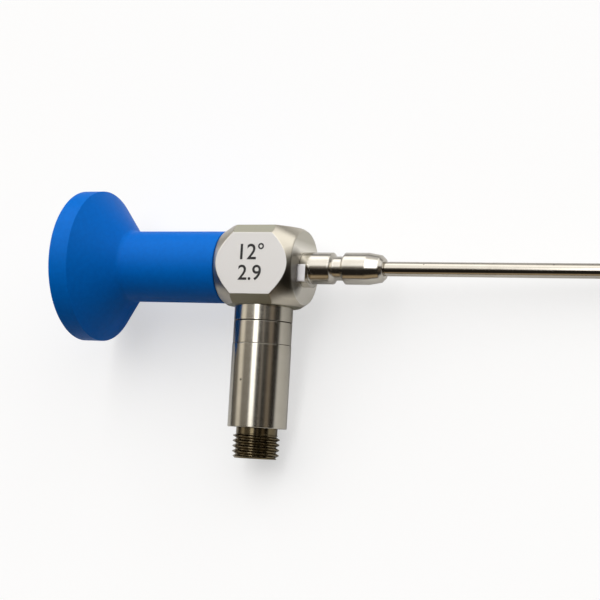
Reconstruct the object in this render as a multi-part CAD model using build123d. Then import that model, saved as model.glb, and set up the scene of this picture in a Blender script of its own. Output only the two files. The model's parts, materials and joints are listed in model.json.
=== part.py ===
from build123d import *
import math
import os

# Rigid endoscope with a rod lens optic, a blue eyecup, a steel hub and a light post.
#
# Every piece is shaped in the instrument's own axes: +X runs along the shaft to the tip,
# -Z runs down the light post, -Y points out of the marked flat of the hub, and the origin
# is where the axis of the optic crosses the axis of the light post. The last section lays
# the whole instrument on a level floor, marked flat up, as it comes to rest by itself.
# Lengths are millimetres and angles are degrees.

# Clearances
fit_gap = 0.05
fine_gap = 0.03

# Eyecup, one turned plastic funnel with its barrel
rim_radius = 16.0
rim_width = 4.39
rim_edge = 0.25
cone_angle = 44.0
barrel_radius = 7.46
barrel_wall = 1.81
barrel_fillet = 1.2
eyepiece_length = 33.36
mouth_radius = 12.8
mouth_depth = 3.26
seam_chamfer = 0.15

# Seal ring in the seam between barrel and hub
seam_width = 0.3
seam_recess = 0.3

# Hub, a square block whose ends are turned to cones
hub_length = 17.0
hub_across_flats = 16.0
hub_corner_chamfer = 1.8
hub_end_radius = 7.55
hub_cone_angle = 31.2
ocular_socket_depth = 5.0
chamber_room = 1.2

# Ocular, the eyepiece optics in their steel tube
ocular_wall = 0.8
relief_step = 1.2
relief_length = 6.0
bush_length = 2.0
field_stop_thickness = 0.3
field_stop_radius = 1.9
ocular_spacer_length = 10.0
ocular_rim = 0.95
flint_thickness = 1.6
crown_thickness = 2.6
ocular_joint_bulge = 0.7
ocular_eye_bulge = 0.55
lock_ring_length = 2.0
spanner_slot = 0.9
window_seat_wall = 0.55
window_thickness = 1.0
gasket_thickness = 0.3
bezel_overhang = 0.8
bezel_thickness = 0.7
gasket_rim = 0.8
oring_groove_floor = 0.2
oring_side_room = 0.1
oring_sides = 8
oring_distance = 22.0

# Light post, distances measured from the axis of the optic
post_radius = 5.97
post_base_length = 3.32
post_ring_length = 4.57
sleeve_radius = 6.03
sleeve_length = 16.87
neck_radius = 4.2
neck_length = 1.24
thread_radius = 4.76
thread_length = 5.0
thread_chamfer = 0.55
bold_seam_width = 0.22
bold_seam_depth = 0.4
fine_seam_width = 0.1
fine_seam_depth = 0.2
sleeve_edge = 0.1
spigot_wall = 1.15
spigot_length = 2.0
core_radius = 2.6
core_inset = 4.56
ferrule_bore = 2.3
light_window_thickness = 0.7
light_window_recess = 0.3
cone_wide_radius = 1.9

# Light fibres
bundle_radius = 0.65
bundle_lead = 0.1
fan_lead = 2.0
fan_lip = 0.12

# Sheath lock, one turned piece that the working sheath locks on to
lock_radius = 3.22
lock_shank_length = 6.2
lock_groove_radius = 2.45
lock_groove_length = 1.8
lock_groove_chamfer = 0.55
lock_head_length = 4.85
lock_ogive_length = 2.6
lock_ogive_radius = 2.75
lock_nose_radius = 2.1
lock_nose_length = 0.7
collar_radius = 3.95
collar_width = 1.8
lug_reach = 4.25
lug_top = 0.3
lug_bottom = -3.2
lock_spigot_length = 3.0
lock_spigot_wall = 0.4

# Shaft and the optic inside it
shaft_radius = 1.45
shaft_wall = 0.15
working_length = 100.2
shaft_seat_depth = 12.0
shaft_seat_step = 0.05
solder_taper = 1.0
view_angle = 12.0
optic_tube_radius = 1.06
optic_tube_wall = 0.1
optic_offset = 0.15
rod_count = 6
rod_rim = 0.18
rod_bulge = 0.06
rod_spacer_length = 1.2
objective_thickness = 1.5
prism_length = 1.9
tip_window_thickness = 0.35

# Radii that follow from the sizes above
ocular_tube_radius = barrel_radius - barrel_wall - fit_gap
ocular_bore = ocular_tube_radius - ocular_wall
ocular_relief = ocular_bore - relief_step
ocular_edge = ocular_bore - fit_gap
ocular_aperture = ocular_edge - ocular_rim
window_radius = ocular_tube_radius - window_seat_wall - fit_gap
bezel_radius = ocular_tube_radius + bezel_overhang
bezel_aperture = window_radius - gasket_rim
groove_floor_radius = ocular_bore + oring_groove_floor
oring_section = (ocular_tube_radius + fit_gap - groove_floor_radius) / 2 - fine_gap
shaft_bore = shaft_radius - shaft_wall
shaft_seat_radius = shaft_radius - shaft_seat_step
fibre_radius = shaft_bore - fine_gap
train_radius = optic_tube_radius - optic_tube_wall - fine_gap
rod_aperture = train_radius - rod_rim
bundle_drop = optic_tube_radius - optic_offset + fit_gap + bundle_radius
fan_radius = bundle_drop + bundle_radius + fan_lip
fan_bore = fan_radius + fit_gap
lock_spigot_radius = fan_bore + lock_spigot_wall
chamber_radius = fan_radius + chamber_room
spigot_radius = core_radius + fit_gap + spigot_wall

# Places along the optic
hub_back = -hub_length / 2
hub_front = hub_length / 2
barrel_front = hub_back - seam_width
eye_face = barrel_front - eyepiece_length
rim_front = eye_face + rim_width
bezel_back = eye_face + mouth_depth
tube_back = bezel_back + bezel_thickness
window_front = tube_back + window_thickness
gasket_front = window_front + gasket_thickness
socket_floor = hub_back + ocular_socket_depth
tube_front = socket_floor - bush_length
stop_shoulder = tube_front - relief_length
stop_back = stop_shoulder - field_stop_thickness
spacer_back = stop_back - ocular_spacer_length
flint_back = spacer_back - flint_thickness
crown_back = flint_back - crown_thickness
lock_ring_back = crown_back - lock_ring_length
oring_middle = hub_back - oring_distance
lock_spigot_back = hub_front - lock_spigot_length
fan_start = hub_front - fan_lead
collar_front = hub_front + collar_width
shank_front = hub_front + lock_shank_length
groove_back = shank_front + lock_groove_chamfer
groove_front = groove_back + lock_groove_length
head_back = groove_front + lock_groove_chamfer
ogive_back = head_back + lock_head_length
ogive_front = ogive_back + lock_ogive_length
lock_front = ogive_front + lock_nose_length
shaft_back = lock_front - shaft_seat_depth
taper_front = lock_front + solder_taper
tip = lock_front + working_length
past_tip = tip + shaft_radius
prism_back = tip - tip_window_thickness - prism_length
objective_back = prism_back - objective_thickness
train_back = tube_front + rod_bulge + fine_gap
rod_length = (objective_back - train_back) / rod_count - rod_spacer_length

# Places down the light post, as distances from the axis of the optic
post_start = hub_across_flats / 2
base_end = post_start + post_base_length
ring_end = base_end + post_ring_length
sleeve_end = ring_end + sleeve_length
neck_end = sleeve_end + neck_length
thread_start = neck_end + thread_radius - neck_radius
post_end = neck_end + thread_length
core_start = post_start - spigot_length
core_end = sleeve_end - core_inset
light_window_end = post_end - light_window_recess
light_window_back = light_window_end - light_window_thickness
bundle_bend = core_start - bundle_drop - bundle_lead


def turned(*outline):
    """Turn a closed outline of (distance along the axis, radius) points about the X axis."""
    return revolve(make_face(Polyline(*outline, close=True)), axis=Axis.X)


def ring(start, end, outer, inner=0.0):
    """A plain turned ring, or a disc where it has no bore."""
    return turned((start, inner), (end, inner), (end, outer), (start, outer))


def down_post(solid):
    """Turn a piece made along +X so that it runs down the light post."""
    return Rot(0, 90, 0) * solid


def off_axis(solid):
    """Move a piece of the optic to where its tube lies inside the shaft."""
    return Pos(0, 0, optic_offset) * solid


def cap_arc(x, aperture, bulge):
    """Half the section of a spherical lens face, bulging towards +X by the given height."""
    height = abs(bulge)
    sphere = (aperture**2 + height**2) / (2 * height)
    drop = sphere - math.sqrt(sphere**2 - aperture**2 / 4)
    middle = x + math.copysign(height - drop, bulge)
    return ThreePointArc((x, aperture), (middle, aperture / 2), (x + bulge, 0))


def lens(start, end, edge, aperture, start_bulge, end_bulge):
    """A lens with spherical faces inside a flat rim. Both bulges are positive towards +X."""
    back = cap_arc(start, aperture, start_bulge)
    front = cap_arc(end, aperture, end_bulge)
    rim = Polyline((start, aperture), (start, edge), (end, edge), (end, aperture))
    axis = Line((start + start_bulge, 0), (end + end_bulge, 0))
    return revolve(make_face(back + rim + front + axis), axis=Axis.X)


def flat_front_lens(start, end, edge, aperture, start_bulge):
    """A lens with one spherical face at its start and a flat one at its end."""
    back = cap_arc(start, aperture, start_bulge)
    rest = Polyline((start, aperture), (start, edge), (end, edge), (end, 0), (start + start_bulge, 0))
    return revolve(make_face(back + rest), axis=Axis.X)


def tip_plane(depth=0.0):
    """The slanted plane of the distal face, or one a given depth behind it."""
    slant = math.radians(view_angle)
    facing = Vector(math.cos(slant), 0, math.sin(slant))
    return Plane(origin=Vector(tip, 0, 0) - facing * depth, x_dir=(0, 1, 0), z_dir=facing)


def behind(solid, plane):
    """Keep the part of a solid on the hub's side of a slanted plane."""
    return split(solid, bisect_by=plane, keep=Keep.BOTTOM)


def beyond(solid, plane):
    """Keep the part of a solid on the outer side of a slanted plane."""
    return split(solid, bisect_by=plane, keep=Keep.TOP)


# Eyepiece


def eyecup():
    cone_length = (rim_radius - barrel_radius) / math.tan(math.radians(cone_angle))
    bore = ocular_tube_radius + fit_gap
    seat = bezel_radius + fit_gap
    outside = FilletPolyline(
        (rim_front, rim_radius),
        (rim_front + cone_length, barrel_radius),
        (barrel_front - seam_chamfer, barrel_radius),
        radius=barrel_fillet,
    )
    inside = Polyline(
        (barrel_front - seam_chamfer, barrel_radius),
        (barrel_front, barrel_radius - seam_chamfer),
        (barrel_front, bore),
        (tube_back, bore),
        (tube_back, seat),
        (bezel_back, seat),
        (eye_face, mouth_radius),
        (eye_face, rim_radius - rim_edge),
        (eye_face + rim_edge, rim_radius),
        (rim_front, rim_radius),
    )
    return revolve(make_face(outside + inside), axis=Axis.X)


def barrel_seal():
    return ring(barrel_front, hub_back, barrel_radius - seam_recess, ocular_tube_radius + fit_gap)


def ocular_tube():
    body = turned(
        (tube_back, window_radius + fit_gap),
        (gasket_front, window_radius + fit_gap),
        (gasket_front, ocular_bore),
        (stop_shoulder, ocular_bore),
        (stop_shoulder, ocular_relief),
        (tube_front, ocular_relief),
        (tube_front, ocular_tube_radius),
        (tube_back, ocular_tube_radius),
    )
    half_width = oring_section + oring_side_room
    groove = ring(
        oring_middle - half_width,
        oring_middle + half_width,
        ocular_tube_radius + fit_gap,
        groove_floor_radius,
    )
    return body - groove


def eyecup_oring():
    centre_radius = groove_floor_radius + fine_gap + oring_section
    section = Pos(oring_middle, centre_radius) * RegularPolygon(oring_section, oring_sides)
    return revolve(section, axis=Axis.X)


def window_gasket():
    return ring(window_front, gasket_front, window_radius, bezel_aperture)


def eyepiece_window():
    return ring(tube_back, window_front, window_radius)


def window_bezel():
    face_chamfer = bezel_thickness / 2
    return turned(
        (tube_back, bezel_aperture),
        (tube_back, bezel_radius),
        (bezel_back, bezel_radius),
        (bezel_back, bezel_aperture + face_chamfer),
        (bezel_back + face_chamfer, bezel_aperture),
    )


def ocular_lock_ring():
    body = ring(lock_ring_back, crown_back, ocular_edge, ocular_aperture + fit_gap)
    slot = Pos(lock_ring_back, 0, 0) * Box(lock_ring_length, 2 * ocular_bore, spanner_slot)
    return body - slot


def ocular_crown():
    return lens(
        crown_back,
        flint_back - fine_gap,
        ocular_edge,
        ocular_aperture,
        -ocular_eye_bulge,
        ocular_joint_bulge,
    )


def ocular_flint():
    return flat_front_lens(flint_back, spacer_back, ocular_edge, ocular_aperture, ocular_joint_bulge)


def ocular_spacer():
    return ring(spacer_back, stop_back, ocular_edge, ocular_aperture + fit_gap)


def field_stop():
    return ring(stop_back, stop_shoulder, ocular_edge, field_stop_radius)


def optic_bush():
    body = ring(tube_front, socket_floor, ocular_tube_radius)
    return body - off_axis(ring(tube_front, socket_floor, optic_tube_radius + fine_gap))


# Hub


def hub():
    block = Box(hub_length, hub_across_flats, hub_across_flats)
    block = chamfer(block.edges().filter_by(Axis.X), hub_corner_chamfer)
    cone_top = hub_end_radius + hub_length / 2 * math.tan(math.radians(hub_cone_angle))
    cones = turned(
        (hub_back, 0),
        (hub_back, hub_end_radius),
        (0, cone_top),
        (hub_front, hub_end_radius),
        (hub_front, 0),
    )
    body = block & cones
    socket = ring(hub_back, socket_floor, ocular_tube_radius + fit_gap)
    chamber = ring(socket_floor, lock_spigot_back, chamber_radius)
    lock_seat = ring(lock_spigot_back, hub_front, lock_spigot_radius + fit_gap)
    post_bore = down_post(ring(0, post_start, core_radius + fit_gap))
    post_seat = down_post(ring(core_start, post_start, spigot_radius + fit_gap))
    return body - socket - chamber - lock_seat - post_bore - post_seat


# Light post


def post_base():
    return down_post(
        turned(
            (core_start, core_radius + fit_gap),
            (core_start, spigot_radius),
            (post_start, spigot_radius),
            (post_start, post_radius),
            (base_end - bold_seam_width, post_radius),
            (base_end - bold_seam_width, post_radius - bold_seam_depth),
            (base_end, post_radius - bold_seam_depth),
            (base_end, core_radius + fit_gap),
        )
    )


def post_ring():
    return down_post(
        turned(
            (base_end, core_radius + fit_gap),
            (base_end, post_radius),
            (ring_end - fine_seam_width, post_radius),
            (ring_end - fine_seam_width, post_radius - fine_seam_depth),
            (ring_end, post_radius - fine_seam_depth),
            (ring_end, core_radius + fit_gap),
        )
    )


def post_core():
    return down_post(ring(core_start, core_end, core_radius, bundle_radius + fit_gap))


def post_sleeve():
    return down_post(
        turned(
            (ring_end, core_radius + fit_gap),
            (ring_end, sleeve_radius),
            (sleeve_end - sleeve_edge, sleeve_radius),
            (sleeve_end, sleeve_radius - sleeve_edge),
            (sleeve_end, neck_radius),
            (neck_end, neck_radius),
            (thread_start, thread_radius),
            (post_end - thread_chamfer, thread_radius),
            (post_end, thread_radius - thread_chamfer),
            (post_end, ferrule_bore),
            (core_end, ferrule_bore),
            (core_end, core_radius + fit_gap),
        )
    )


def cone_ferrule():
    outer_radius = ferrule_bore - fit_gap
    return down_post(
        turned(
            (core_end, bundle_radius + fine_gap),
            (core_end, outer_radius),
            (light_window_back, outer_radius),
            (light_window_back, cone_wide_radius + fine_gap),
        )
    )


def light_cone():
    return down_post(
        turned(
            (core_end, 0),
            (core_end, bundle_radius),
            (light_window_back, cone_wide_radius),
            (light_window_back, 0),
        )
    )


def light_window():
    return down_post(ring(light_window_back, light_window_end, ferrule_bore - fit_gap))


def light_fibres():
    """One bundle: up the post, round a bend in the hub, then fanned out round the optic tube."""
    path = FilletPolyline(
        (0, 0, -core_end),
        (0, 0, -bundle_drop),
        (fan_start + fit_gap, 0, -bundle_drop),
        radius=bundle_bend,
    )
    bundle = sweep(Plane(origin=path @ 0, z_dir=path % 0) * Circle(bundle_radius), path=path)
    fan = turned(
        (fan_start, 0),
        (fan_start, fan_radius),
        (shaft_back, fibre_radius),
        (past_tip, fibre_radius),
        (past_tip, 0),
    )
    room = off_axis(ring(lock_spigot_back, past_tip, optic_tube_radius + fine_gap))
    return behind(bundle + fan - room, tip_plane())


# Sheath lock


def sheath_lock():
    body = turned(
        (lock_spigot_back, fan_bore),
        (lock_spigot_back, lock_spigot_radius),
        (hub_front, lock_spigot_radius),
        (hub_front, lock_radius),
        (shank_front, lock_radius),
        (groove_back, lock_groove_radius),
        (groove_front, lock_groove_radius),
        (head_back, lock_radius),
        (ogive_back, lock_radius),
        (ogive_front, lock_ogive_radius),
        (lock_front, lock_nose_radius),
        (lock_front, shaft_seat_radius + fine_gap),
        (shaft_back, shaft_seat_radius + fine_gap),
        (shaft_back, shaft_bore),
        (fan_start, fan_bore),
    )
    return body + lock_collar()


def lock_collar():
    """Half collar on the light post's side, with the milled lug that stops the sheath."""
    middle = hub_front + collar_width / 2
    inner_radius = lock_radius - fit_gap
    half = ring(hub_front, collar_front, collar_radius, inner_radius)
    above = Pos(middle, 0, lug_top + collar_radius) * Box(collar_width, 3 * collar_radius, 2 * collar_radius)
    lug_height = lug_top - lug_bottom
    lug = Pos(middle, -lug_reach / 2, lug_bottom + lug_height / 2) * Box(collar_width, lug_reach, lug_height)
    return half - above + (lug - ring(hub_front, collar_front, inner_radius))


# Shaft and optic


def shaft_tube():
    """Outer tube, turned down a little where it is soldered into the lock and tapered out of it."""
    blank = turned(
        (shaft_back, shaft_bore),
        (shaft_back, shaft_seat_radius),
        (lock_front, shaft_seat_radius),
        (taper_front, shaft_radius),
        (past_tip, shaft_radius),
        (past_tip, shaft_bore),
    )
    return behind(blank, tip_plane())


def optic_tube():
    inner = optic_tube_radius - optic_tube_wall
    return behind(off_axis(ring(tube_front, past_tip, optic_tube_radius, inner)), tip_plane())


def rod_back(index):
    """Where one of the rods begins, counted from the eyepiece."""
    return train_back + index * (rod_length + rod_spacer_length)


def rod_lens(index):
    start = rod_back(index)
    return off_axis(
        lens(start, start + rod_length, train_radius, rod_aperture, -rod_bulge, rod_bulge)
    )


def rod_spacer(index):
    start = rod_back(index) + rod_length
    return off_axis(ring(start, start + rod_spacer_length, train_radius, train_radius - rod_rim + fine_gap))


def objective_lens():
    return off_axis(
        lens(objective_back, prism_back - rod_bulge - fine_gap, train_radius, rod_aperture, -rod_bulge, rod_bulge)
    )


def deflecting_prism():
    blank = off_axis(ring(prism_back, past_tip, train_radius))
    return behind(blank, tip_plane(tip_window_thickness))


def tip_window():
    blank = off_axis(ring(prism_back, past_tip, train_radius))
    return behind(beyond(blank, tip_plane(tip_window_thickness)), tip_plane())


# Rest on the floor: the rim, the tip of the shaft and one edge of the post touch it


def resting_plane():
    """The floor under the instrument, seen in the instrument's own axes."""
    slope = math.atan((rim_radius - shaft_radius) / (tip - rim_front))
    axis_height = rim_radius * math.cos(slope) + rim_front * math.sin(slope)
    post_edges = (
        (sleeve_end - sleeve_edge, sleeve_radius),
        (post_end - thread_chamfer, thread_radius),
        (post_end, thread_radius - thread_chamfer),
    )
    roll = min(
        math.asin(axis_height / math.hypot(reach, radius)) - math.atan2(radius, reach)
        for reach, radius in post_edges
    )
    up_x = -math.sin(slope)
    up_z = math.sin(roll)
    up = Vector(up_x, -math.sqrt(1 - up_x**2 - up_z**2), up_z)
    along = Vector(1, 0, 0) - up * up_x
    return Plane(origin=(0, 0, 0), x_dir=along, z_dir=up)


def instrument():
    pieces = {
        "eyecup": eyecup(),
        "barrel_seal": barrel_seal(),
        "ocular_tube": ocular_tube(),
        "eyecup_oring": eyecup_oring(),
        "window_bezel": window_bezel(),
        "eyepiece_window": eyepiece_window(),
        "window_gasket": window_gasket(),
        "ocular_lock_ring": ocular_lock_ring(),
        "ocular_crown": ocular_crown(),
        "ocular_flint": ocular_flint(),
        "ocular_spacer": ocular_spacer(),
        "field_stop": field_stop(),
        "optic_bush": optic_bush(),
        "hub": hub(),
        "post_base": post_base(),
        "post_ring": post_ring(),
        "post_core": post_core(),
        "post_sleeve": post_sleeve(),
        "cone_ferrule": cone_ferrule(),
        "light_cone": light_cone(),
        "light_window": light_window(),
        "light_fibres": light_fibres(),
        "sheath_lock": sheath_lock(),
        "shaft_tube": shaft_tube(),
        "optic_tube": optic_tube(),
        "objective_lens": objective_lens(),
        "deflecting_prism": deflecting_prism(),
        "tip_window": tip_window(),
    }
    for index in range(rod_count):
        pieces[f"rod_lens_{index + 1}"] = rod_lens(index)
        pieces[f"rod_spacer_{index + 1}"] = rod_spacer(index)
    return pieces


def laid_down(pieces):
    """Put every piece in the floor's axes, with the origin under the middle of the whole."""
    floor = resting_plane()
    laid = {name: floor.to_local_coords(piece) for name, piece in pieces.items()}
    box = Compound(list(laid.values())).bounding_box()
    centre = box.center()
    shift = Pos(-centre.X, -centre.Y, -box.min.Z)
    return {name: shift * piece for name, piece in laid.items()}


os.makedirs("parts", exist_ok=True)
for name, piece in laid_down(instrument()).items():
    export_step(piece, f"parts/{name}.step")
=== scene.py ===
"""Looks of the rigid endoscope: blue eyecup, satin steel hub and light post, drawn steel shaft.

Lengths are millimetres in the instrument's own axes, which the record's mounts give: +X along
the shaft to the tip, -Z down the light post, -Y out of the flat that carries the marks. They are
turned into the frame's metres only when a mesh or the camera is placed.
"""
import json
import math

import bpy
import numpy as np
from mathutils import Matrix, Vector


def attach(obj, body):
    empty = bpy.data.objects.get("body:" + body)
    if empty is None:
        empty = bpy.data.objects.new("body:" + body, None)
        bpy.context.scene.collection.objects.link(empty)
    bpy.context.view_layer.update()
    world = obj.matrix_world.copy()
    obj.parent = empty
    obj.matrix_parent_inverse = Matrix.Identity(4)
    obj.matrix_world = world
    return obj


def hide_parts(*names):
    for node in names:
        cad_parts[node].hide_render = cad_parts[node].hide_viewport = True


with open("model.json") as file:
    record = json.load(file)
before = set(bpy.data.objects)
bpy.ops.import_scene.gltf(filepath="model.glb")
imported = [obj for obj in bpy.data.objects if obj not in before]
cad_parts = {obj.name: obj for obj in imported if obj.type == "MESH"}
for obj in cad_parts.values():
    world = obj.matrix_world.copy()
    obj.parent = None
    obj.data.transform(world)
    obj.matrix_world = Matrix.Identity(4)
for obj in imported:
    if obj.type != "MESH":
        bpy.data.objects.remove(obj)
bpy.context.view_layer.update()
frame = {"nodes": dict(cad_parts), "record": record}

# Instrument axes, read from the mounts

MM = 0.001
mounts = {mount["name"]: mount for mount in frame["record"]["mounts"]}
along_shaft = np.array(mounts["shaft"]["axis"])
up_post = -np.array(mounts["light_post_thread"]["axis"])
on_shaft = np.array(mounts["shaft"]["pos_m"])
on_post = np.array(mounts["light_post_thread"]["pos_m"])
crossing = on_shaft + along_shaft * np.dot(on_post - on_shaft, along_shaft)
AXES = np.stack([along_shaft, np.cross(up_post, along_shaft), up_post])


def place(points):
    """Instrument millimetres to the frame's metres: crossing plus the point times the axes."""
    return crossing + (np.asarray(points, dtype=float) @ AXES) * MM


def way(direction):
    """A direction in instrument axes, as a unit vector in the frame."""
    turned = np.asarray(direction, dtype=float) @ AXES
    return Vector(turned / np.linalg.norm(turned))


# Materials


def linear(hexcode):
    """An sRGB hex colour as linear red, green, blue and 1."""
    values = np.array([int(hexcode[i : i + 2], 16) for i in (1, 3, 5)]) / 255
    low = values / 12.92
    high = ((values + 0.055) / 1.055) ** 2.4
    return (*np.where(values <= 0.04045, low, high).tolist(), 1.0)


def grey(value):
    return (value, value, value, 1.0)


def add(tree, kind, settings=None, **inputs):
    """Add one node. Settings are attributes; inputs are values or output sockets, by socket name.
    Underscores stand for spaces, and a number after a double underscore picks a socket by index,
    for nodes that give several sockets one name: a Mix has its factor at 0, numbers at 2 and 3 and
    colours at 6 and 7, and a mixed colour comes out at 2."""
    node = tree.nodes.new(kind)
    for key, value in (settings or {}).items():
        setattr(node, key, value)
    for key, value in inputs.items():
        socket = node.inputs[int(key[2:]) if key.startswith("__") else key.replace("_", " ")]
        if isinstance(value, bpy.types.NodeSocket):
            tree.links.new(value, socket)
        else:
            socket.default_value = value
    return node


def empty_material(name):
    material = bpy.data.materials.new(name)
    material.use_nodes = True
    material.node_tree.nodes.clear()
    return material, material.node_tree


def instrument_coordinates(tree):
    """Object coordinates turned into instrument millimetres, as three sockets X, Y and Z."""
    point = add(tree, "ShaderNodeTexCoord").outputs["Object"]
    from_crossing = add(
        tree, "ShaderNodeVectorMath", {"operation": "SUBTRACT"}, __0=point, __1=Vector(crossing)
    )
    sockets = []
    for axis in AXES:
        along = add(
            tree,
            "ShaderNodeVectorMath",
            {"operation": "DOT_PRODUCT"},
            __0=from_crossing.outputs["Vector"],
            __1=Vector(axis / MM),
        )
        sockets.append(along.outputs["Value"])
    return sockets


def in_millimetres(tree):
    """Instrument coordinates as one vector, for grain that has no direction."""
    x, y, z = instrument_coordinates(tree)
    return add(tree, "ShaderNodeCombineXYZ", X=x, Y=y, Z=z).outputs["Vector"]


# Lathe grooves: how many to a millimetre along the axis or the radius, which is a third of the
# real number so that they show, how fast a groove changes with the angle round the axis, and
# the depth in millimetres that a bump strength of 1 gives them.
GROOVES = 7.0
GROOVE_CHANGE = 1.5
GROOVE_DEPTH = 0.02


def lathe_grooves(tree, along_axis):
    """Height of the grooves a lathe leaves, and the radius in millimetres. The height is noise read
    at distance along the axis, radius and angle, with the first two scaled up, so that it is drawn
    out round the axis."""
    x, y, z = instrument_coordinates(tree)
    along, first, second = (x, y, z) if along_axis == "X" else (z, x, y)
    squares = [
        add(tree, "ShaderNodeMath", {"operation": "MULTIPLY"}, __0=side, __1=side).outputs["Value"]
        for side in (first, second)
    ]
    radius_squared = add(tree, "ShaderNodeMath", {"operation": "ADD"}, __0=squares[0], __1=squares[1])
    radius = add(
        tree, "ShaderNodeMath", {"operation": "SQRT"}, __0=radius_squared.outputs["Value"]
    ).outputs["Value"]
    angle = add(
        tree, "ShaderNodeMath", {"operation": "ARCTAN2"}, __0=first, __1=second
    ).outputs["Value"]
    scaled = [
        add(tree, "ShaderNodeMath", {"operation": "MULTIPLY"}, __0=socket, __1=factor).outputs["Value"]
        for socket, factor in ((along, GROOVES), (radius, GROOVES), (angle, GROOVE_CHANGE))
    ]
    drawn_out = add(tree, "ShaderNodeCombineXYZ", X=scaled[0], Y=scaled[1], Z=scaled[2])
    grooves = add(
        tree,
        "ShaderNodeTexNoise",
        Vector=drawn_out.outputs["Vector"],
        Scale=1.0,
        Detail=5.0,
        Roughness=0.65,
    )
    return grooves.outputs["Fac"], radius


def turned_blue_plastic():
    """Blue PEEK, turned from bar and bead blasted: an even soft sheen with a very fine grain that
    keeps the cone from looking like glossy moulded plastic."""
    material, tree = empty_material("turned_blue_plastic")
    space = in_millimetres(tree)
    cloud = add(tree, "ShaderNodeTexNoise", Vector=space, Scale=1.2, Detail=4.0).outputs["Fac"]
    colour = add(
        tree,
        "ShaderNodeMix",
        {"data_type": "RGBA"},
        __0=cloud,
        __6=linear("#0062BE"),
        __7=linear("#006ED0"),
    )
    grain = add(tree, "ShaderNodeTexNoise", Vector=space, Scale=5.0, Detail=4.0).outputs["Fac"]
    roughness = add(
        tree, "ShaderNodeMapRange", Value=grain, From_Min=0.3, From_Max=0.7, To_Min=0.4, To_Max=0.5
    )
    bump = add(tree, "ShaderNodeBump", Strength=0.1, Distance=0.03 * MM, Height=grain)
    shader = add(
        tree,
        "ShaderNodeBsdfPrincipled",
        Base_Color=colour.outputs[2],
        Roughness=roughness.outputs["Result"],
        IOR=1.5,
        Specular_IOR_Level=0.06,
        Normal=bump.outputs["Normal"],
    )
    add(tree, "ShaderNodeOutputMaterial", Surface=shader.outputs["BSDF"])
    return material


# A nick in the front of the light post, and the small pits of handling: their radii in
# millimetres, and how many cells to a millimetre the pits are spread over.
NICK_PLACE = (-1.65, -5.8, -23.3)
NICK_RADIUS = 0.22
PIT_CELLS = 0.35
PIT_RADIUS = 0.13


def turned_steel(
    name, along_axis, dark, light, rough, grooved, edge=0.1, seam_radius=0.0, highlight_beyond=100.0
):
    """Stainless steel turned on a lathe and lightly polished. The feed grooves run round the axis
    and spread each reflection along it; handling has left faint clouds, a few small pits and a nick
    in the front of the post. What lies deeper than the seam radius is painted dark, as painted
    shade. A face further out of the marked flat's side than the given limit is made matt and
    painted near white, as a painted highlight."""
    material, tree = empty_material(name)
    grooves, radius = lathe_grooves(tree, along_axis)
    space = in_millimetres(tree)
    cloud = add(tree, "ShaderNodeTexNoise", Vector=space, Scale=0.4, Detail=4.0).outputs["Fac"]
    cells = add(tree, "ShaderNodeTexVoronoi", Vector=space, Scale=PIT_CELLS)
    from_nick = add(tree, "ShaderNodeVectorMath", {"operation": "DISTANCE"}, __0=space, __1=NICK_PLACE)
    # Pits and the nick are real stains; what lies deeper than the seam radius is painted dark, painted
    # shade.
    stains_and_shade = 0.0
    for distance, reach in (
        (cells.outputs["Distance"], PIT_RADIUS * PIT_CELLS),
        (from_nick.outputs["Value"], NICK_RADIUS),
        (radius, seam_radius),
    ):
        near = add(tree, "ShaderNodeMath", {"operation": "LESS_THAN"}, __0=distance, __1=reach)
        stains_and_shade = add(
            tree, "ShaderNodeMath", {"operation": "MAXIMUM"}, __0=near.outputs["Value"], __1=stains_and_shade
        ).outputs["Value"]
    clean = add(
        tree, "ShaderNodeMix", {"data_type": "RGBA"}, __0=cloud, __6=linear(dark), __7=linear(light)
    )
    colour = add(
        tree,
        "ShaderNodeMix",
        {"data_type": "RGBA"},
        __0=stains_and_shade,
        __6=clean.outputs[2],
        __7=linear("#3A332B"),
    )
    # Faces further out of the marked flat's side than the limit are made matt and painted near white: a
    # painted highlight.
    out_of_flat = instrument_coordinates(tree)[1]
    highlight_patch = add(
        tree, "ShaderNodeMath", {"operation": "LESS_THAN"}, __0=out_of_flat, __1=-highlight_beyond
    ).outputs["Value"]
    colour_with_highlight = add(
        tree,
        "ShaderNodeMix",
        {"data_type": "RGBA"},
        __0=highlight_patch,
        __6=colour.outputs[2],
        __7=linear("#F4F2F4"),
    )
    gloss = add(
        tree,
        "ShaderNodeMapRange",
        Value=grooves,
        From_Min=0.3,
        From_Max=0.7,
        To_Min=rough[0],
        To_Max=rough[1],
    )
    roughness = add(
        tree,
        "ShaderNodeMix",
        {"data_type": "FLOAT"},
        __0=highlight_patch,
        __2=gloss.outputs["Result"],
        __3=0.5,
    )
    rounded_edge = add(tree, "ShaderNodeBevel", {"samples": 6}, Radius=edge * MM)
    bump = add(
        tree,
        "ShaderNodeBump",
        Strength=grooved,
        Distance=GROOVE_DEPTH * MM,
        Height=grooves,
        Normal=rounded_edge.outputs["Normal"],
    )
    shader = add(
        tree,
        "ShaderNodeBsdfPrincipled",
        Base_Color=colour_with_highlight.outputs[2],
        Metallic=1.0,
        Roughness=roughness.outputs[0],
        Normal=bump.outputs["Normal"],
    )
    add(tree, "ShaderNodeOutputMaterial", Surface=shader.outputs["BSDF"])
    return material


# Faces of the hub, told apart by how much their normal lies along the shaft or out of the flat:
# a flat lies below the first share, an end above the second and the marked flat above the third.
FLAT_BELOW = 0.1
END_ABOVE = 0.97
MARKED_ABOVE = 0.95

# Painted shade on the front end: the corner beside the lug, with the distances between which its
# painted shade ends, and the heights between which the top of the end is painted greyer.
LUG_CORNER = (8.5, -5.5, -1.5)
LUG_SHADE = (3.4, 5.4)
END_SHADE_HEIGHTS = (3.6, 5.4)

# How wide the hub's edges look rounded, on the side of a cone or end and on the side of a flat
CONE_EDGE = 0.6
FLAT_EDGE = 0.15


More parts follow.
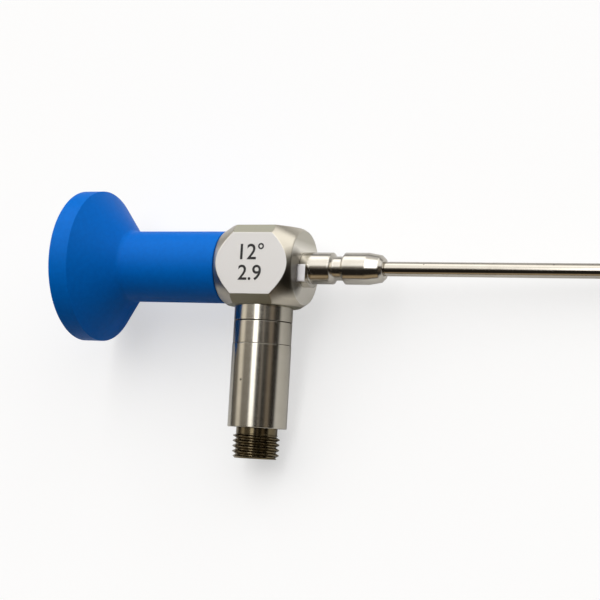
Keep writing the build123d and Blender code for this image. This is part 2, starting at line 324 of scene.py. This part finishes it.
def ground_faces():
    """Steel milled, ground and blasted on the flats of the hub, which stay pale and milky, and
    turned on its cones and ends, which go dark where the room is dark. The cones run into
    the ends over a soft edge. The ends are painted paler than the cones, a painted light. The top
    of the ends is painted greyer, the corner beside the lock's lug dark and the other flats darker
    than the marked one, all painted shade."""
    material, tree = empty_material("ground_and_turned_steel")
    space = in_millimetres(tree)
    blasted = add(
        tree, "ShaderNodeTexNoise", Vector=space, Scale=6.0, Detail=6.0, Roughness=0.7
    ).outputs["Fac"]
    grooves = lathe_grooves(tree, "X")[0]

    facing = add(tree, "ShaderNodeNewGeometry").outputs["True Normal"]
    lean, outward = [
        add(
            tree, "ShaderNodeVectorMath", {"operation": "DOT_PRODUCT"}, __0=facing, __1=way(axis)
        ).outputs["Value"]
        for axis in ((1, 0, 0), (0, -1, 0))
    ]
    turned = add(tree, "ShaderNodeMath", {"operation": "ABSOLUTE"}, __0=lean).outputs["Value"]
    flat, end, marked = [
        add(tree, "ShaderNodeMath", {"operation": test}, __0=value, __1=limit).outputs["Value"]
        for test, value, limit in (
            ("LESS_THAN", turned, FLAT_BELOW),
            ("GREATER_THAN", turned, END_ABOVE),
            ("GREATER_THAN", outward, MARKED_ABOVE),
        )
    ]
    # Painted shade: the top of the ends is painted greyer and the corner beside the lug dark.
    height = instrument_coordinates(tree)[2]
    top = add(
        tree, "ShaderNodeMapRange", Value=height, From_Min=END_SHADE_HEIGHTS[0], From_Max=END_SHADE_HEIGHTS[1]
    ).outputs["Result"]
    painted_shade_on_end_top = add(tree, "ShaderNodeMath", {"operation": "MULTIPLY"}, __0=end, __1=top).outputs["Value"]
    from_lug = add(
        tree, "ShaderNodeVectorMath", {"operation": "DISTANCE"}, __0=space, __1=LUG_CORNER
    ).outputs["Value"]
    painted_lug_shade = add(
        tree, "ShaderNodeMapRange", Value=from_lug, From_Min=LUG_SHADE[1], From_Max=LUG_SHADE[0]
    ).outputs["Result"]

    colour = linear("#C8C1B2")
    # Tones by face: the ends painted paler than the cones (painted light), then the painted shade on the
    # top of the ends and beside the lug, and the other flats painted darker than the marked one (painted
    # shade).
    for share, tone in (
        (end, "#F4F0E6"),
        (painted_shade_on_end_top, "#BFBBAE"),
        (painted_lug_shade, "#67635A"),
        (flat, "#B0AE9F"),
        (marked, "#DCDAD8"),
    ):
        colour = add(
            tree, "ShaderNodeMix", {"data_type": "RGBA"}, __0=share, __6=colour, __7=linear(tone)
        ).outputs[2]
    cone_gloss, flat_gloss = [
        add(
            tree,
            "ShaderNodeMapRange",
            Value=grain,
            From_Min=0.3,
            From_Max=0.7,
            To_Min=smooth,
            To_Max=rough,
        ).outputs["Result"]
        for grain, smooth, rough in ((grooves, 0.27, 0.36), (blasted, 0.5, 0.64))
    ]
    roughness, relief, edge = [
        add(
            tree, "ShaderNodeMix", {"data_type": "FLOAT"}, __0=flat, __2=on_cone, __3=on_flat
        ).outputs[0]
        for on_cone, on_flat in (
            (cone_gloss, flat_gloss),
            (grooves, blasted),
            (CONE_EDGE * MM, FLAT_EDGE * MM),
        )
    ]
    rounded_edge = add(tree, "ShaderNodeBevel", {"samples": 8}, Radius=edge)
    bump = add(
        tree,
        "ShaderNodeBump",
        Strength=0.2,
        Distance=GROOVE_DEPTH * MM,
        Height=relief,
        Normal=rounded_edge.outputs["Normal"],
    )
    shader = add(
        tree,
        "ShaderNodeBsdfPrincipled",
        Base_Color=colour,
        Metallic=1.0,
        Roughness=roughness,
        Normal=bump.outputs["Normal"],
    )
    add(tree, "ShaderNodeOutputMaterial", Surface=shader.outputs["BSDF"])
    return material


def plain_finish(name, first, second, scale, roughness, metallic=0.0):
    """Colour that wanders a little between two tones on one even surface. Made for the moulded
    nitrile seals, the black anodised eyepiece tubes and the annealed laser marks."""
    material, tree = empty_material(name)
    grain = add(tree, "ShaderNodeTexNoise", Vector=in_millimetres(tree), Scale=scale, Detail=3.0)
    colour = add(
        tree,
        "ShaderNodeMix",
        {"data_type": "RGBA"},
        __0=grain.outputs["Fac"],
        __6=linear(first),
        __7=linear(second),
    )
    shader = add(
        tree,
        "ShaderNodeBsdfPrincipled",
        Base_Color=colour.outputs[2],
        Roughness=roughness,
        Metallic=metallic,
    )
    add(tree, "ShaderNodeOutputMaterial", Surface=shader.outputs["BSDF"])
    return material


def coated_glass():
    """Polished optical glass with an antireflection coating: clear, a breath of green at its edge,
    and just rough enough in places to look wiped by hand."""
    material, tree = empty_material("coated_optical_glass")
    wiped = add(tree, "ShaderNodeTexNoise", Vector=in_millimetres(tree), Scale=3.0, Detail=3.0)
    roughness = add(
        tree,
        "ShaderNodeMapRange",
        Value=wiped.outputs["Fac"],
        From_Min=0.4,
        From_Max=0.8,
        To_Min=0.0,
        To_Max=0.06,
    )
    shader = add(
        tree,
        "ShaderNodeBsdfPrincipled",
        Base_Color=linear("#F2F8F4"),
        Roughness=roughness.outputs["Result"],
        Transmission_Weight=1.0,
        IOR=1.52,
    )
    add(tree, "ShaderNodeOutputMaterial", Surface=shader.outputs["BSDF"])
    return material


def packed_fibres():
    """Glass fibres glued in a ring and ground flat: pale, with the dots of single fibres. Real
    fibres are 0.05 mm across and are drawn at 0.12 mm so that they show."""
    material, tree = empty_material("packed_glass_fibres")
    cells = add(tree, "ShaderNodeTexVoronoi", Vector=in_millimetres(tree), Scale=1 / 0.12)
    colour = add(
        tree,
        "ShaderNodeMix",
        {"data_type": "RGBA"},
        __0=cells.outputs["Distance"],
        __6=linear("#E9E4C4"),
        __7=linear("#8F8868"),
    )
    shader = add(tree, "ShaderNodeBsdfPrincipled", Base_Color=colour.outputs[2], Roughness=0.3, IOR=1.6)
    add(tree, "ShaderNodeOutputMaterial", Surface=shader.outputs["BSDF"])
    return material


blue_plastic = turned_blue_plastic()
lock_steel = turned_steel(
    "turned_and_milled_lock_steel",
    "X",
    "#BFBAAF",
    "#CEC9C0",
    rough=(0.12, 0.19),
    grooved=0.14,
    edge=0.5,
    highlight_beyond=4.2,
)
steel_on_post = turned_steel(
    "turned_steel_on_post", "Z", "#BEB8AA", "#CDC8BC", rough=(0.15, 0.22), grooved=0.12, seam_radius=5.9
)
cut_thread = turned_steel(
    "cut_steel_thread", "Z", "#6B6049", "#84785F", rough=(0.16, 0.2), grooved=0.0, edge=0.0
)
drawn_tube = turned_steel(
    "drawn_steel_tube", "X", "#B9B3A8", "#C6C0B5", rough=(0.08, 0.14), grooved=0.06, edge=0.03
)
inner_steel = turned_steel(
    "turned_inner_steel", "X", "#AFA99D", "#BDB7AB", rough=(0.3, 0.4), grooved=0.2, edge=0.03
)
rubber = plain_finish("moulded_nitrile_rubber", "#0B0B0C", "#19191B", 6.0, 0.7)
anodised = plain_finish("black_anodised_aluminium", "#0A0A0B", "#151517", 8.0, 0.55, 0.3)
laser_mark = plain_finish("annealed_laser_mark", "#151314", "#2C292A", 7.0, 0.6)
hub_steel = ground_faces()
glass = coated_glass()
fibres = packed_fibres()

FINISH = {
    "eyecup": blue_plastic,
    "barrel_seal": rubber,
    "eyecup_oring": rubber,
    "window_gasket": rubber,
    "hub": hub_steel,
    "sheath_lock": lock_steel,
    "post_base": steel_on_post,
    "post_ring": steel_on_post,
    "post_sleeve": steel_on_post,
    "shaft_tube": drawn_tube,
    "window_bezel": inner_steel,
    "optic_tube": inner_steel,
    "post_core": inner_steel,
    "cone_ferrule": inner_steel,
    "optic_bush": inner_steel,
    "ocular_tube": anodised,
    "ocular_lock_ring": anodised,
    "ocular_spacer": anodised,
    "field_stop": anodised,
    "light_fibres": fibres,
}
for node_name, node in frame["nodes"].items():
    plain = inner_steel if node_name.startswith("rod_spacer") else glass
    node.data.materials.clear()
    node.data.materials.append(FINISH.get(node_name, plain))


# Pieces with more form than the solids have

ROUND_STEPS = 160
SHARP_ANGLE = math.radians(25)


def closed_grid(name, points, replaced, materials):
    """A closed skin from a grid of points, stations along the piece by steps round it, where both
    the last station and the last step join up with the first. It rides on the body in place of a
    node, and its mesh comes back for more."""
    stations, steps = points.shape[:2]
    i, j = np.meshgrid(np.arange(stations), np.arange(steps), indexing="ij")
    i_next = (i + 1) % stations
    j_next = (j + 1) % steps
    corners = np.stack(
        [i * steps + j, i_next * steps + j, i_next * steps + j_next, i * steps + j_next], axis=-1
    )
    mesh = bpy.data.meshes.new(name)
    mesh.from_pydata(place(points.reshape(-1, 3)).tolist(), [], corners.reshape(-1, 4).tolist())
    mesh.shade_smooth()
    mesh.set_sharp_from_angle(angle=SHARP_ANGLE)
    for material in materials:
        mesh.materials.append(material)
    skin = bpy.data.objects.new(name, mesh)
    bpy.context.scene.collection.objects.link(skin)
    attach(skin, "root")
    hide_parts(replaced)
    return mesh


# Eyecup, whose funnel is a little steeper than the solid's and runs into the barrel by an arc

CUP_FRONT = -8.8
CUP_BACK = -42.16
CUP_RADIUS = 16.0
RIM_FRONT = -37.77
RIM_EDGE = 0.25
BARREL_RADIUS = 7.46
BARREL_EDGE = 0.15
FUNNEL_END = -30.6
FUNNEL_ARC = 1.6
ARC_STEPS = 8
MOUTH_RADIUS = 12.8
BEZEL_BACK = -38.9
BEZEL_SEAT = 6.45
TUBE_BACK = -38.2
TUBE_BORE = 5.65


def eyecup_skin():
    """Eyecup turned from a closed profile: barrel, arc, funnel, rim, then back through the mouth,
    the seat of the bezel and the bore. The arc touches barrel and funnel: its centre lies one arc
    radius off the barrel, and past their corner by that radius times the tangent of half the lean.
    A point of the skin is the profile's distance along X and its radius times the turn's cosine
    and sine along Y and Z."""
    lean = math.atan2(CUP_RADIUS - BARREL_RADIUS, FUNNEL_END - RIM_FRONT)
    centre = FUNNEL_END + FUNNEL_ARC * math.tan(lean / 2)
    swept = np.linspace(0, lean, ARC_STEPS)
    arc = np.column_stack(
        [centre - FUNNEL_ARC * np.sin(swept), BARREL_RADIUS + FUNNEL_ARC * (1 - np.cos(swept))]
    )
    front = [(CUP_FRONT, BARREL_RADIUS - BARREL_EDGE), (CUP_FRONT - BARREL_EDGE, BARREL_RADIUS)]
    back = [
        (RIM_FRONT, CUP_RADIUS),
        (CUP_BACK + RIM_EDGE, CUP_RADIUS),
        (CUP_BACK, CUP_RADIUS - RIM_EDGE),
        (CUP_BACK, MOUTH_RADIUS),
        (BEZEL_BACK, BEZEL_SEAT),
        (TUBE_BACK, BEZEL_SEAT),
        (TUBE_BACK, TUBE_BORE),
        (CUP_FRONT, TUBE_BORE),
    ]
    profile = np.concatenate([front, arc, back])
    turn = np.linspace(0, 2 * math.pi, ROUND_STEPS, endpoint=False)
    along, reach = profile[:, :1], profile[:, 1:]
    points = np.stack([along + 0 * turn, reach * np.cos(turn), reach * np.sin(turn)], axis=-1)
    closed_grid("eyecup_skin", points, "eyecup", [blue_plastic])


eyecup_skin()


# Light post sleeve with its cut thread, in place of the plain crest cylinder

SLEEVE_BACK = 15.89
SLEEVE_END = 32.76
SLEEVE_RADIUS = 6.03
SLEEVE_EDGE = 0.1
NECK_RADIUS = 4.2
NECK_END = 34.0
POST_END = 39.0
CREST_RADIUS = 4.76
ROOT_RADIUS = 4.12
THREAD_PITCH = 1.058
FLANK_ANGLE = 30.0
THREAD_CHAMFER = 0.55
THREAD_STATIONS = 336
THREAD_STEP = 0.05
RUN_IN = THREAD_PITCH / 3
CORE_BORE = 2.65
FERRULE_BORE = 2.3
CORE_END = 28.2


def threaded_sleeve():
    """Sleeve, neck and thread as one closed grid of stations down the post by steps round it.

    The thread's radius is the root plus its depth times a ridge. The ridge comes from the phase,
    which is distance over pitch less the turn made: it falls and rises in a straight line with the
    distance of the phase from its middle, as steeply as a 60 degree thread's flanks, and is
    clipped flat at crest and root. It fades in over the run-in and is capped by the 45 degree
    end chamfer."""
    turn = np.linspace(0, 2 * math.pi, ROUND_STEPS, endpoint=False)
    outside = [
        (SLEEVE_BACK, SLEEVE_RADIUS),
        (SLEEVE_END - SLEEVE_EDGE, SLEEVE_RADIUS),
        (SLEEVE_END, SLEEVE_RADIUS - SLEEVE_EDGE),
        (SLEEVE_END, NECK_RADIUS),
        (NECK_END, NECK_RADIUS),
    ]
    inside = [
        (POST_END, FERRULE_BORE),
        (CORE_END, FERRULE_BORE),
        (CORE_END, CORE_BORE),
        (SLEEVE_BACK, CORE_BORE),
    ]
    depth = CREST_RADIUS - ROOT_RADIUS
    stations = np.linspace(NECK_END + THREAD_STEP, POST_END, THREAD_STATIONS)
    phase = (stations[:, None] / THREAD_PITCH - turn[None, :] / (2 * math.pi)) % 1.0
    steepness = THREAD_PITCH / (2 * depth * math.tan(math.radians(FLANK_ANGLE)))
    ridge = np.clip(0.5 + steepness * (2 * np.abs(phase - 0.5) - 0.5), 0, 1)
    fade = np.clip((stations - NECK_END) / RUN_IN, 0, 1)[:, None]
    cap = CREST_RADIUS - THREAD_CHAMFER + (POST_END - stations)[:, None]
    radius = np.minimum(ROOT_RADIUS + depth * ridge * fade, cap)
    rows = [np.full((ROUND_STEPS, 2), pair) for pair in outside]
    rows += [
        np.column_stack([np.full(ROUND_STEPS, distance), reach])
        for distance, reach in zip(stations, radius)
    ]
    rows += [np.full((ROUND_STEPS, 2), pair) for pair in inside]
    distance, reach = np.moveaxis(np.array(rows), -1, 0)
    points = np.stack([reach * np.cos(turn), reach * np.sin(turn), -distance], axis=-1)
    mesh = closed_grid(
        "post_sleeve_skin", points, "post_sleeve", [steel_on_post, cut_thread]
    )
    neck = len(outside) - 2
    station = np.arange(len(rows)).repeat(ROUND_STEPS)
    on_thread = (station >= neck) & (station <= neck + THREAD_STATIONS)
    mesh.polygons.foreach_set("material_index", on_thread.astype(int))


threaded_sleeve()


# Marks on the flat of the hub: the angle of view and the diameter, as plain numbers

FLAT = -8.0

# Piece, its number, the place of its middle along Z and how tall its figures are
MARKS = (
    ("mark_angle", "12°", 2.36, 3.24),
    ("mark_diameter", "2.9", -1.84, 3.14),
)
MARK_MIDDLE = -0.15
MARK_BOLDNESS = 0.05
MARK_HEIGHT = 0.012
CAPITAL_SHARE = 0.729


def mark(name, words, middle, capital):
    """Numbers as a film on the flat: a text curve turned into a mesh, centred, made a little bolder,
    and laid on the flat with its baseline along the shaft and its top towards +Z."""
    curve = bpy.data.curves.new(name, "FONT")
    curve.body = words
    curve.size = capital / CAPITAL_SHARE
    curve.align_x = "CENTER"
    curve.extrude = MARK_HEIGHT / 2
    curve.resolution_u = 6
    curve.offset = MARK_BOLDNESS
    text = bpy.data.objects.new(name, curve)
    mesh = bpy.data.meshes.new_from_object(text)
    bpy.data.objects.remove(text)
    flat = np.empty(len(mesh.vertices) * 3)
    mesh.vertices.foreach_get("co", flat)
    across, up, out = flat.reshape(-1, 3).T
    points = np.column_stack(
        [
            MARK_MIDDLE + across,
            np.full(len(out), FLAT - MARK_HEIGHT / 2) - out,
            middle - capital / 2 + up,
        ]
    )
    mesh.vertices.foreach_set("co", place(points).ravel())
    mesh.materials.clear()
    mesh.materials.append(laser_mark)
    piece = bpy.data.objects.new(name, mesh)
    bpy.context.scene.collection.objects.link(piece)
    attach(piece, "root")


for name, words, middle, capital in MARKS:
    mark(name, words, middle, capital)


# Stage: floor, light and camera

CAMERA_PLACE = (126.4, -287.2, -35.9)
CAMERA_RIGHT = (0.9249, 0.3760, 0.0568)
CAMERA_DOWN = (0.0168, 0.1087, -0.9939)
LENS = 92.38

# The floor: half its side in metres, how much it glows and how pale it is where the camera sees
# it, and how pale the steel mirrors it near the hub and far from it, past a change in metres.
FLOOR_HALF = 3.0
FLOOR_GLOW = 0.565
FLOOR_SEEN = 0.42
FLOOR_MIRRORED = 0.75
FLOOR_FAR = 0.05
FLOOR_CHANGE = (0.05, 0.15)

# Where light comes from: middle, half span and soft edge of each card, each as azimuth and
# elevation in degrees from the direction of the camera, then its strength and its colour.
CARDS = (
    ("ceiling panel, the main light, from above", (-5, 46), (125, 29), (30, 12), 1.25, "#FFFFFF"),
    ("rest of the ceiling, beyond the zenith too", (0, 90), (180, 30), (1, 16), 0.7, "#FFFFFF"),
    ("tall strip, the bright line down the post", (-26, 34), (9, 28), (6, 8), 3.2, "#FFFFFF"),
    ("window on the left, the pale band beside it", (-83, 30), (11, 28), (12, 8), 0.75, "#FFF9EE"),
    ("wall on the left", (-80, 45), (42, 43), (14, 20), 0.26, "#FFF6EA"),
    ("glint past the camera on the right", (36, 10), (8, 30), (12, 30), 0.2, "#FFE9CF"),
    ("glint beside the camera", (5, 12), (4, 12), (6, 10), 0.2, "#FFF0E0"),
    ("bench in front, the warm line under the lock", (-55, -60), (75, 13), (20, 10), 0.4, "#FFE3B8"),
)
DARK_ROOM = (0.02, 0.017, 0.014)


def stage_floor():
    """A white sheet under the instrument that the steel mirrors only for a hand's width, with the
    dark room beyond. What the camera sees of it is white all over and glows a little, so that it
    is nearly white and still takes the shadow."""
    mesh = bpy.data.meshes.new("studio_floor")
    corners = [(x * FLOOR_HALF, y * FLOOR_HALF, 0) for x, y in ((-1, -1), (1, -1), (1, 1), (-1, 1))]
    mesh.from_pydata(corners, [], [(0, 1, 2, 3)])
    floor = bpy.data.objects.new("studio_floor", mesh)
    bpy.context.scene.collection.objects.link(floor)
    material, tree = empty_material("white_floor")
    seen = add(tree, "ShaderNodeLightPath").outputs["Is Camera Ray"]
    point = add(tree, "ShaderNodeTexCoord").outputs["Object"]
    from_hub = add(
        tree, "ShaderNodeVectorMath", {"operation": "DISTANCE"}, __0=point, __1=Vector(crossing)
    )
    sheet = add(
        tree,
        "ShaderNodeMapRange",
        Value=from_hub.outputs["Value"],
        From_Min=FLOOR_CHANGE[0],
        From_Max=FLOOR_CHANGE[1],
        To_Min=FLOOR_MIRRORED,
        To_Max=FLOOR_FAR,
    )
    pale = add(
        tree,
        "ShaderNodeMix",
        {"data_type": "FLOAT"},
        __0=seen,
        __2=sheet.outputs["Result"],
        __3=FLOOR_SEEN,
    )
    diffuse = add(tree, "ShaderNodeBsdfDiffuse", Color=pale.outputs[0])
    glow = add(tree, "ShaderNodeMath", {"operation": "MULTIPLY"}, __0=seen, __1=FLOOR_GLOW)
    lit = add(tree, "ShaderNodeEmission", Color=grey(1.0), Strength=glow.outputs["Value"])
    both = add(tree, "ShaderNodeAddShader", __0=diffuse.outputs["BSDF"], __1=lit.outputs["Emission"])
    add(tree, "ShaderNodeOutputMaterial", Surface=both.outputs["Shader"])
    mesh.materials.append(material)


def stage_camera():
    """The camera at the photograph's place, with its turn from the right and down directions."""
    camera = bpy.data.objects.new("camera", bpy.data.cameras.new("camera"))
    bpy.context.scene.collection.objects.link(camera)
    right = way(CAMERA_RIGHT)
    back = right.cross(-way(CAMERA_DOWN)).normalized()
    turn = Matrix((right, back.cross(right), back)).transposed().to_4x4()
    camera.matrix_world = Matrix.Translation(Vector(place(CAMERA_PLACE))) @ turn
    camera.data.sensor_width = 36.0
    camera.data.lens = LENS
    camera.data.clip_start = 0.01
    bpy.context.scene.camera = camera


def card_share(tree, angles, middles, halves, softs):
    """How much of a card a direction meets, from 0 to 1: a soft window in azimuth times one in
    elevation."""
    windows = []
    for angle, middle, half, soft in zip(angles, middles, halves, softs):
        away = add(tree, "ShaderNodeMath", {"operation": "SUBTRACT"}, __0=angle, __1=middle)
        distance = add(tree, "ShaderNodeMath", {"operation": "ABSOLUTE"}, __0=away.outputs["Value"])
        window = add(
            tree,
            "ShaderNodeMapRange",
            {"interpolation_type": "SMOOTHSTEP"},
            Value=distance.outputs["Value"],
            From_Min=half - soft / 2,
            From_Max=half + soft / 2,
            To_Min=1.0,
            To_Max=0.0,
        )
        windows.append(window.outputs["Result"])
    share = add(tree, "ShaderNodeMath", {"operation": "MULTIPLY"}, __0=windows[0], __1=windows[1])
    return share.outputs["Value"]


def stage_light():
    """A dim room with soft cards of light in it, darkest where camera and operator stand. What
    the camera sees past the floor is plain white."""
    world = bpy.data.worlds.new("studio")
    bpy.context.scene.world = world
    world.use_nodes = True
    tree = world.node_tree
    tree.nodes.clear()
    direction = add(tree, "ShaderNodeTexCoord").outputs["Generated"]
    right = way(CAMERA_RIGHT)
    up = -way(CAMERA_DOWN)
    parts = [
        add(
            tree, "ShaderNodeVectorMath", {"operation": "DOT_PRODUCT"}, __0=direction, __1=axis
        ).outputs["Value"]
        for axis in (right, up, right.cross(up))
    ]
    turn = add(
        tree, "ShaderNodeMath", {"operation": "ARCTAN2"}, __0=parts[0], __1=parts[2]
    ).outputs["Value"]
    rise = add(tree, "ShaderNodeMath", {"operation": "ARCSINE"}, __0=parts[1]).outputs["Value"]
    angles = [
        add(tree, "ShaderNodeMath", {"operation": "DEGREES"}, __0=angle).outputs["Value"]
        for angle in (turn, rise)
    ]
    light = add(tree, "ShaderNodeCombineXYZ", X=DARK_ROOM[0], Y=DARK_ROOM[1], Z=DARK_ROOM[2])
    for _, middles, halves, softs, strength, tint in CARDS:
        share = card_share(tree, angles, middles, halves, softs)
        colour = tuple(channel * strength for channel in linear(tint)[:3])
        card = add(tree, "ShaderNodeVectorMath", {"operation": "SCALE"}, __0=colour, Scale=share)
        light = add(
            tree, "ShaderNodeVectorMath", {"operation": "ADD"}, __0=card.outputs[0], __1=light.outputs[0]
        )
    seen = add(tree, "ShaderNodeLightPath").outputs["Is Camera Ray"]
    colour = add(
        tree, "ShaderNodeMix", {"data_type": "RGBA"}, __0=seen, __6=light.outputs[0], __7=grey(1.0)
    )
    background = add(tree, "ShaderNodeBackground", Color=colour.outputs[2], Strength=1.0)
    add(tree, "ShaderNodeOutputWorld", Surface=background.outputs["Background"])


stage_floor()
stage_camera()
stage_light()
bpy.context.scene.view_settings.view_transform = "Standard"
